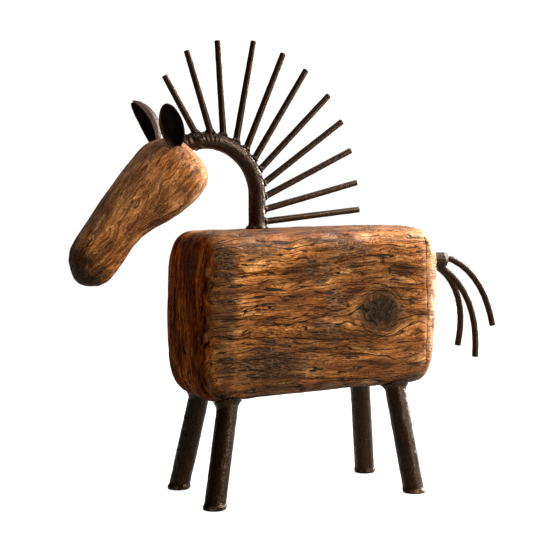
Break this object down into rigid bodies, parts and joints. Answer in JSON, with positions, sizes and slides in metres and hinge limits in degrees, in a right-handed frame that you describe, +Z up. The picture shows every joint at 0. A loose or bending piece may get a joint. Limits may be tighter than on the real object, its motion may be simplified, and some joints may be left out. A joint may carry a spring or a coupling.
{
  "type": "abstract horse figurine",
  "caption": "A standing abstract horse with a rounded timber block body, a carved timber head, and dark iron legs, arched neck, fanned rod mane, leaf ears and bent rod tail",
  "frame": {"origin": "on the floor, under the middle of the overall length and width", "axes": "+Z up, -X the way the horse faces, +X towards its tail, +Y its right-hand side away from the picture's viewer, -Y the side the picture shows"},
  "size_m": [0.2664, 0.0778, 0.2586],
  "materials": {
    "body_timber": "weathered reclaimed timber with an oiled matt surface, open cracks and one dark knot",
    "head_timber": "carved reclaimed timber with an oiled matt surface and fine checks",
    "neck_iron": "dark waxed forged bar with a satin surface",
    "mane_rod_01_iron": "dark waxed forged bar with a satin surface",
    "mane_rod_02_iron": "dark waxed forged bar with a satin surface",
    "mane_rod_03_iron": "dark waxed forged bar with a satin surface",
    "mane_rod_04_iron": "dark waxed forged bar with a satin surface",
    "mane_rod_05_iron": "dark waxed forged bar with a satin surface",
    "mane_rod_06_iron": "dark waxed forged bar with a satin surface",
    "mane_rod_07_iron": "dark waxed forged bar with a satin surface",
    "mane_rod_08_iron": "dark waxed forged bar with a satin surface",
    "mane_rod_09_iron": "dark waxed forged bar with a satin surface",
    "mane_rod_10_iron": "dark waxed forged bar with a satin surface",
    "mane_rod_11_iron": "dark waxed forged bar with a satin surface",
    "ear_near_iron": "dark waxed forged bar with a satin surface",
    "ear_far_iron": "dark waxed forged bar with a satin surface",
    "tail_stub_iron": "dark waxed forged bar with a satin surface",
    "tail_rod_top_iron": "dark waxed forged bar with a satin surface",
    "tail_rod_near_iron": "dark waxed forged bar with a satin surface",
    "tail_rod_far_iron": "dark waxed forged bar with a satin surface",
    "leg_front_near_iron": "dark waxed forged bar with a satin surface",
    "leg_front_far_iron": "dark waxed forged bar with a satin surface",
    "leg_rear_near_iron": "dark waxed forged bar with a satin surface",
    "leg_rear_far_iron": "dark waxed forged bar with a satin surface"
  },
  "bodies": {
    "root": {"body": "body_timber", "head": "head_timber", "neck": "neck_iron", "mane_rod_01": "mane_rod_01_iron", "mane_rod_02": "mane_rod_02_iron", "mane_rod_03": "mane_rod_03_iron", "mane_rod_04": "mane_rod_04_iron", "mane_rod_05": "mane_rod_05_iron", "mane_rod_06": "mane_rod_06_iron", "mane_rod_07": "mane_rod_07_iron", "mane_rod_08": "mane_rod_08_iron", "mane_rod_09": "mane_rod_09_iron", "mane_rod_10": "mane_rod_10_iron", "mane_rod_11": "mane_rod_11_iron", "ear_near": "ear_near_iron", "ear_far": "ear_far_iron", "tail_stub": "tail_stub_iron", "tail_rod_top": "tail_rod_top_iron", "tail_rod_near": "tail_rod_near_iron", "tail_rod_far": "tail_rod_far_iron", "leg_front_near": "leg_front_near_iron", "leg_front_far": "leg_front_far_iron", "leg_rear_near": "leg_rear_near_iron", "leg_rear_far": "leg_rear_far_iron"}
  },
  "joints": []
}
